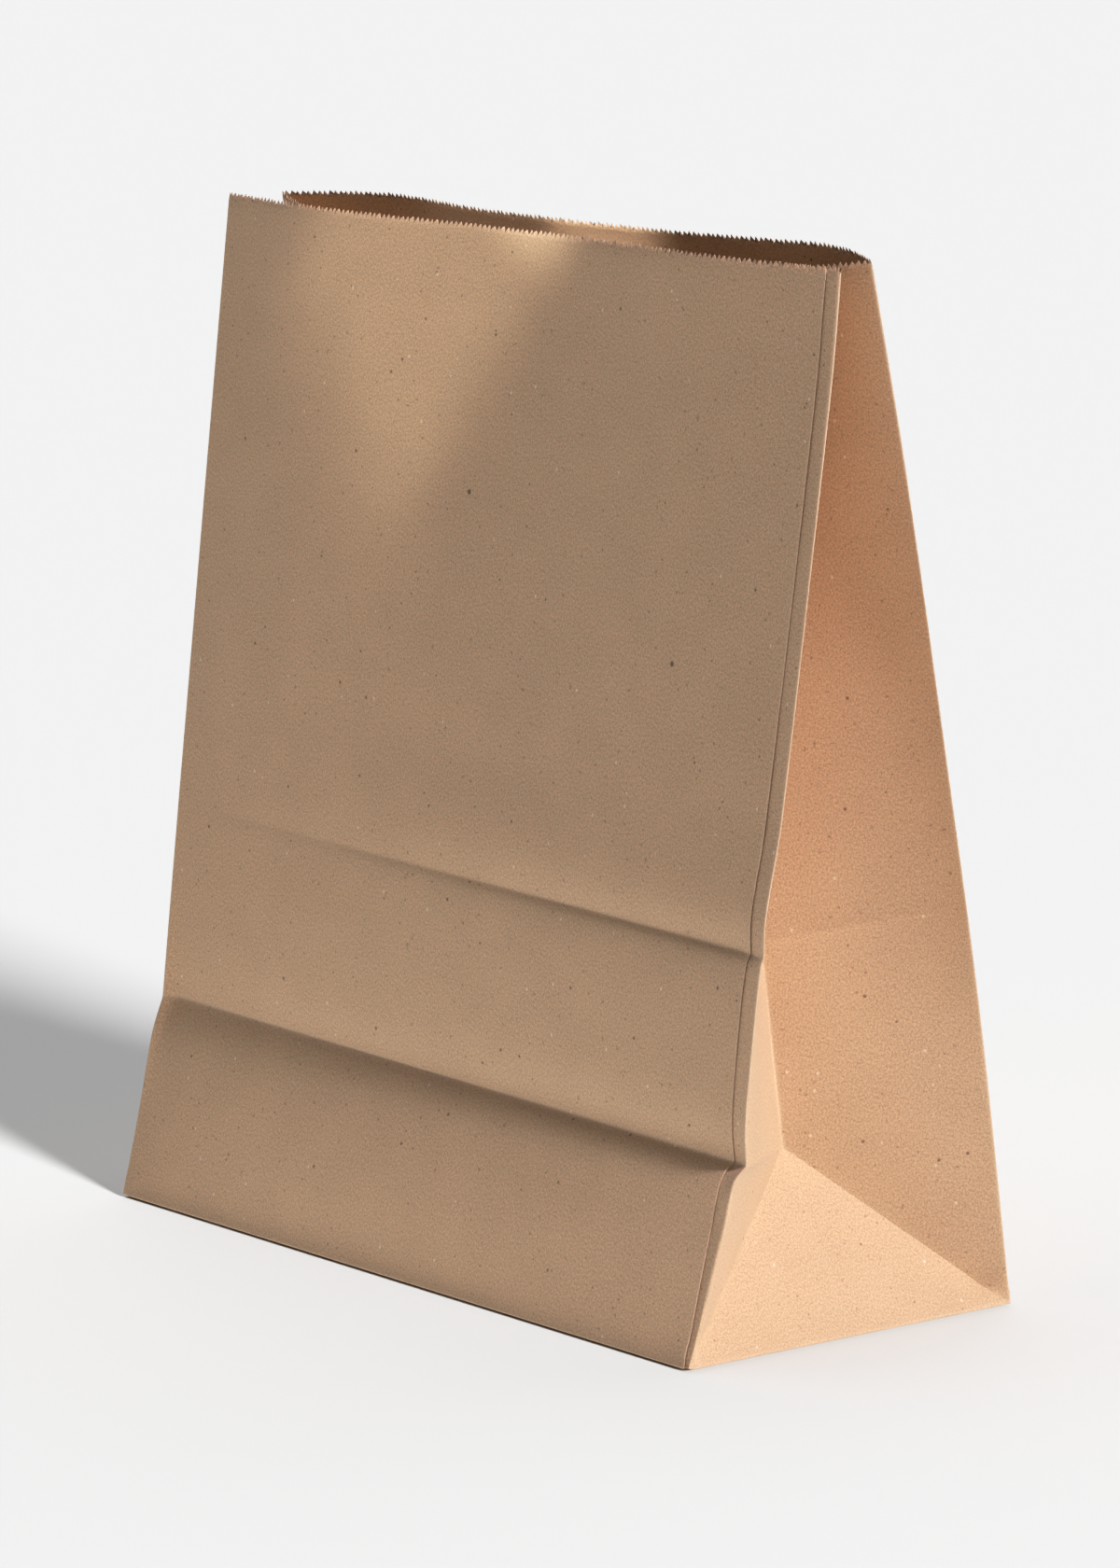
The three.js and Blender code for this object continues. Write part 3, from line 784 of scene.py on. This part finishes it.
def speck_mask(n, flat, scale, radius, rare):
    """Scattered dots: a few cells of a cell pattern, chosen by the cells' random colour."""
    distance, chosen = n.cells(flat, scale)
    split = n.add("ShaderNodeSeparateColor")
    n.join(chosen, split.inputs["Color"])
    dot = n.spread(distance, radius, radius * 2, 1, 0)
    return n.math("MULTIPLY", dot, n.math("GREATER_THAN", split.outputs["Red"], rare))


# ---- studio ----------------------------------------------------------------------------------

CAMERA_AZIMUTH = 51.24
CAMERA_ELEVATION = 9.99
CAMERA_DISTANCE = 1.88
CAMERA_LENS = 159.75
CAMERA_AIM = Vector((0.001252, 0.00156, 0.12925))
# The camera's response: shadows a little deeper, lit paper a little paler.
TONE_CURVE = ((0.05, 0.043), (0.214, 0.2), (0.448, 0.465), (0.64, 0.67), (0.888, 0.888))

WORLD_STRENGTH = 0.05
FLOOR_SIZE = 60
FLOOR_COLOR = (0.55, 0.55, 0.55, 1)
WHITE = (1, 1, 1)

# Distant lamps: name, azimuth, elevation, strength, angle across, colour, what they light.
SUNS = (
    ("key", 102, 46, 2.27, 5, (0.95, 0.885, 0.98), "bag"),
    ("floor_fill", 300, 70, 1.22, 60, WHITE, "floor"),
    ("floor_key", 82.6, 15.5, 11.4, 9, WHITE, "floor"),
    ("side_fill", 66, 25, 0.19, 40, (1, 0.98, 0.95), "bag"),
    ("low_back", 128, 17, 1.5, 16, (1, 0.89, 0.76), "bag"),
    ("fill_behind", 205, 60, 0.85, 50, (0.98, 0.99, 1), None),
    ("fill_front", 320, 12, 0.05, 60, WHITE, None),
)

# The bright patch on the front, with the straight edge it ends at.
PATCH_AWAY = (0.35, -0.5, 0.79)
PATCH_EDGE_TOP = (0.022, -0.02, 0.284)
PATCH_EDGE_FOOT = (-0.025, -0.026, 0.214)
PATCH_WIDTH = 0.078
PATCH_LENGTH = 0.075
PATCH_DISTANCE = 0.16
PATCH_SPREAD = 11.0
PATCH_ENERGY = 0.0068
PATCH_COLOR = (1, 0.95, 0.88)

# The bright patch inside the mouth.
SPOT_TARGET = (0.006, -0.014, 0.313)
SPOT_AWAY = (-0.15, -0.6, 0.78)
SPOT_DISTANCE = 0.8
SPOT_ENERGY = 33
SPOT_SIZE = 4.0
SPOT_BLEND = 0.95
SPOT_SOFTNESS = 0.006
SPOT_COLOR = (1, 0.98, 0.94)

BOUNCE_SIZE = (0.32, 0.2)
BOUNCE_ENERGY = 0.13
BOUNCE_PLACE = (0.035, -0.162, 0.0006)   # close to the floor, in front of the bag


def direction(azimuth, elevation):
    """Unit vector from the bag towards a camera or a lamp. Azimuth 0 looks along +Y."""
    a, e = math.radians(azimuth), math.radians(elevation)
    return Vector((math.sin(a) * math.cos(e), -math.cos(a) * math.cos(e), math.sin(e)))


def add_camera():
    data = bpy.data.cameras.new("camera")
    data.lens = CAMERA_LENS
    data.sensor_width = 36
    data.clip_end = 100
    camera = bpy.data.objects.new("camera", data)
    bpy.context.scene.collection.objects.link(camera)
    away = direction(CAMERA_AZIMUTH, CAMERA_ELEVATION)
    camera.location = CAMERA_AIM + away * CAMERA_DISTANCE
    camera.rotation_euler = away.to_track_quat("Z", "Y").to_euler()
    bpy.context.scene.camera = camera


def add_sun(name, azimuth, elevation, strength, angle, color, only):
    data = bpy.data.lights.new(name, "SUN")
    data.energy = strength
    data.angle = math.radians(angle)
    data.color = color
    lamp = bpy.data.objects.new(name, data)
    lamp.rotation_euler = direction(azimuth, elevation).to_track_quat("Z", "Y").to_euler()
    bpy.context.scene.collection.objects.link(lamp)
    if only:
        lit = bpy.data.collections.get("lit_" + only) or bpy.data.collections.new("lit_" + only)
        lamp.light_linking.receiver_collection = lit


def add_inner_patch():
    """A lamp whose light falls on one soft patch of the bag."""
    data = bpy.data.lights.new("inner_patch", "SPOT")
    data.energy = SPOT_ENERGY
    data.spot_size = math.radians(SPOT_SIZE)
    data.spot_blend = SPOT_BLEND
    data.shadow_soft_size = SPOT_SOFTNESS
    data.color = SPOT_COLOR
    lamp = bpy.data.objects.new("inner_patch", data)
    away = Vector(SPOT_AWAY).normalized()
    lamp.location = Vector(SPOT_TARGET) + away * SPOT_DISTANCE
    lamp.rotation_euler = away.to_track_quat("Z", "Y").to_euler()
    bpy.context.scene.collection.objects.link(lamp)
    lamp.light_linking.receiver_collection = bpy.data.collections["lit_bag"]


def add_slanted_patch():
    """Light that comes past a straight edge: the front's bright patch, cut off on a slant."""
    away = Vector(PATCH_AWAY).normalized()
    top, foot = Vector(PATCH_EDGE_TOP), Vector(PATCH_EDGE_FOOT)
    slant = (top - foot).normalized()
    up = (slant - away * slant.dot(away)).normalized()
    sideways = up.cross(away)
    on_front = sideways - away * (sideways.y / away.y)
    data = bpy.data.lights.new("front_patch", "AREA")
    data.shape = "RECTANGLE"
    data.size = PATCH_WIDTH
    data.size_y = PATCH_LENGTH
    data.spread = math.radians(PATCH_SPREAD)
    data.energy = PATCH_ENERGY
    data.color = PATCH_COLOR
    lamp = bpy.data.objects.new("front_patch", data)
    middle = (top + foot) / 2 - on_front * (PATCH_WIDTH / 2)
    lamp.matrix_world = Matrix((sideways, up, away)).transposed().to_4x4()
    lamp.location = middle + away * PATCH_DISTANCE
    lamp.visible_camera = False
    bpy.context.scene.collection.objects.link(lamp)
    lamp.light_linking.receiver_collection = bpy.data.collections["lit_bag"]


def add_front_bounce():
    """The bright floor before the bag, as a pale panel of light that only the bag receives."""
    data = bpy.data.lights.new("front_bounce", "AREA")
    data.shape = "RECTANGLE"
    data.size, data.size_y = BOUNCE_SIZE
    data.energy = BOUNCE_ENERGY
    lamp = bpy.data.objects.new("front_bounce", data)
    lamp.location = BOUNCE_PLACE
    lamp.rotation_euler = (math.pi, 0, 0)
    lamp.visible_camera = False
    bpy.context.scene.collection.objects.link(lamp)
    lamp.light_linking.receiver_collection = bpy.data.collections["lit_bag"]


def add_floor():
    bpy.ops.mesh.primitive_plane_add(size=FLOOR_SIZE, location=(0, 0, 0))
    floor = bpy.context.object
    floor.name = "floor"
    material = bpy.data.materials.new("floor")
    material.use_nodes = True
    shader = material.node_tree.nodes["Principled BSDF"]
    shader.inputs["Base Color"].default_value = FLOOR_COLOR
    shader.inputs["Roughness"].default_value = 1
    shader.inputs["Specular IOR Level"].default_value = 0
    floor.data.materials.append(material)
    bpy.data.collections.new("lit_floor").objects.link(floor)


def add_studio():
    scene = bpy.context.scene
    scene.view_settings.view_transform = "Standard"
    scene.view_settings.look = "None"
    tone = scene.view_settings.curve_mapping
    scene.view_settings.use_curve_mapping = True
    for linear, shown in TONE_CURVE:
        tone.curves[3].points.new(linear, shown)
    tone.update()
    world = bpy.data.worlds.new("studio")
    scene.world = world
    world.use_nodes = True
    background = world.node_tree.nodes["Background"]
    background.inputs["Color"].default_value = (1, 1, 1, 1)
    background.inputs["Strength"].default_value = WORLD_STRENGTH
    add_floor()
    for sun in SUNS:
        add_sun(*sun)
    add_front_bounce()
    add_slanted_patch()
    add_inner_patch()


# ---- everything together ---------------------------------------------------------------------

add_camera()
add_studio()
bag = build_bag()
bag.data.materials.append(kraft_material())
bpy.data.collections["lit_bag"].objects.link(bag)
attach(bag, "root")
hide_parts(NODE)
